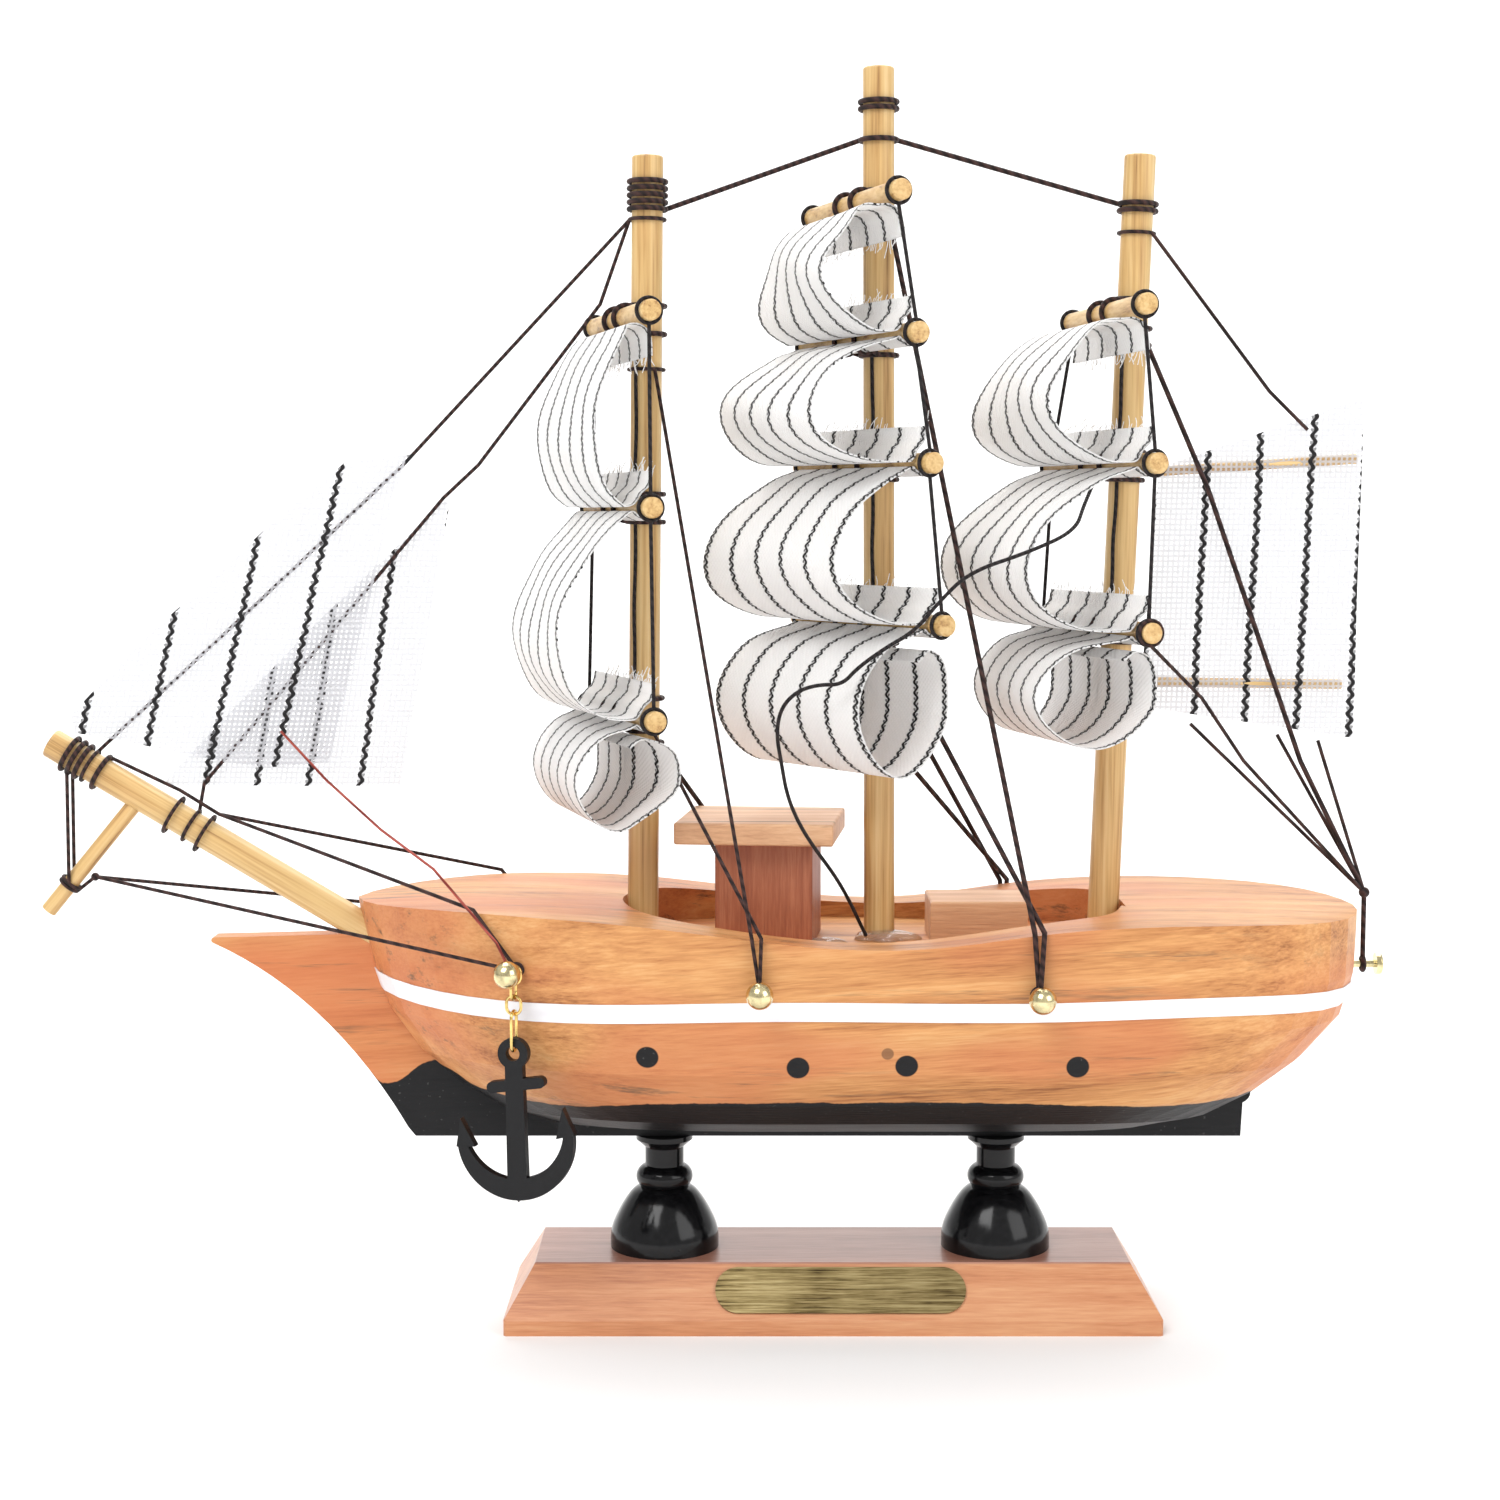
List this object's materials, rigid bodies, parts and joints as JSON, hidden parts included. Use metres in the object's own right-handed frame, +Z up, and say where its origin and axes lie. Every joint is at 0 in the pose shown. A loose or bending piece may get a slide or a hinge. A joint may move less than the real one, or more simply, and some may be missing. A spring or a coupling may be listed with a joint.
{
  "type": "model sailing ship",
  "caption": "Wooden model sailing ship on a stand, with striped cloth sails on bamboo yards, thread rigging and a hanging anchor on a chain.",
  "frame": {"origin": "centre of the stand's underside", "axes": "+X from bow to stern, +Y to starboard, +Z up"},
  "size_m": [0.1619, 0.0518, 0.149],
  "materials": {
    "stand_wood": "sealed",
    "brushed_brass": "brushed",
    "black_lacquer": "gloss",
    "hull_wood": "satin",
    "white_tape": "matte",
    "red_wood": "satin",
    "pale_wood": "satin",
    "bamboo": "satin",
    "sail_cloth": "woven with dark stripes",
    "brass": "polished",
    "black_paint": "matte",
    "red_thread": "thread",
    "dark_thread": "twisted"
  },
  "bodies": {
    "ship": {"base": "stand_wood", "bow_pedestal": "black_lacquer", "bow_rigging": "dark_thread", "bowsprit": "bamboo", "cabin": "red_wood", "cabin_roof": "pale_wood", "deck_hatch": "pale_wood", "dolphin_striker": "bamboo", "fore_mast": "bamboo", "fore_sail_lower": "sail_cloth", "fore_sail_middle": "sail_cloth", "fore_sail_upper": "sail_cloth", "fore_yard_lower": "bamboo", "fore_yard_middle": "bamboo", "fore_yard_upper": "bamboo", "hull": "hull_wood", "hull_stripe": "white_tape", "inner_jib": "sail_cloth", "keel_plate": "hull_wood", "loose_thread": "dark_thread", "main_mast": "bamboo", "main_sail_lower": "sail_cloth", "main_sail_middle": "sail_cloth", "main_sail_top": "sail_cloth", "main_sail_upper": "sail_cloth", "main_yard_lower": "bamboo", "main_yard_middle": "bamboo", "main_yard_top": "bamboo", "main_yard_upper": "bamboo", "masthead_stays": "dark_thread", "mizzen_mast": "bamboo", "mizzen_sail_lower": "sail_cloth", "mizzen_sail_middle": "sail_cloth", "mizzen_sail_upper": "sail_cloth", "mizzen_yard_lower": "bamboo", "mizzen_yard_middle": "bamboo", "mizzen_yard_upper": "bamboo", "name_plate": "brushed_brass", "outer_jib": "sail_cloth", "port_shrouds": "dark_thread", "red_thread": "red_thread", "side_pins": "brass", "spanker": "sail_cloth", "spanker_boom": "bamboo", "spanker_gaff": "bamboo", "starboard_shrouds": "dark_thread", "stern_pedestal": "black_lacquer", "stern_pin": "brass", "stern_rigging": "dark_thread", "yard_lashings": "dark_thread", "yard_lines": "dark_thread"},
    "chain_link_1": {"chain_link_1": "brass"},
    "chain_link_2": {"chain_link_2": "brass"},
    "chain_link_3": {"chain_link_3": "brass"},
    "anchor_ring": {"anchor_ring": "brass"},
    "anchor": {"anchor": "black_paint"}
  },
  "joints": [
    {"name": "chain_link_1_swing", "type": "hinge", "parent": "ship", "child": "chain_link_1", "pos_m": [-0.03672, -0.019, 0.0452], "axis": [-0.2419, -0.9703, 0], "range_deg": [-30, 30]},
    {"name": "chain_link_2_swing", "type": "hinge", "parent": "chain_link_1", "child": "chain_link_2", "pos_m": [-0.03672, -0.019, 0.04373], "axis": [-0.2419, -0.9703, 0], "range_deg": [-15, 15]},
    {"name": "chain_link_3_swing", "type": "hinge", "parent": "chain_link_2", "child": "chain_link_3", "pos_m": [-0.03672, -0.019, 0.04199], "axis": [-0.2419, -0.9703, 0], "range_deg": [-15, 15]},
    {"name": "anchor_ring_swing", "type": "hinge", "parent": "chain_link_3", "child": "anchor_ring", "pos_m": [-0.03672, -0.019, 0.04025], "axis": [-0.2419, -0.9703, 0], "range_deg": [-15, 15]},
    {"name": "anchor_swing", "type": "hinge", "parent": "anchor_ring", "child": "anchor", "pos_m": [-0.03672, -0.019, 0.03605], "axis": [-0.2419, -0.9703, 0], "range_deg": [-25, 25]}
  ]
}
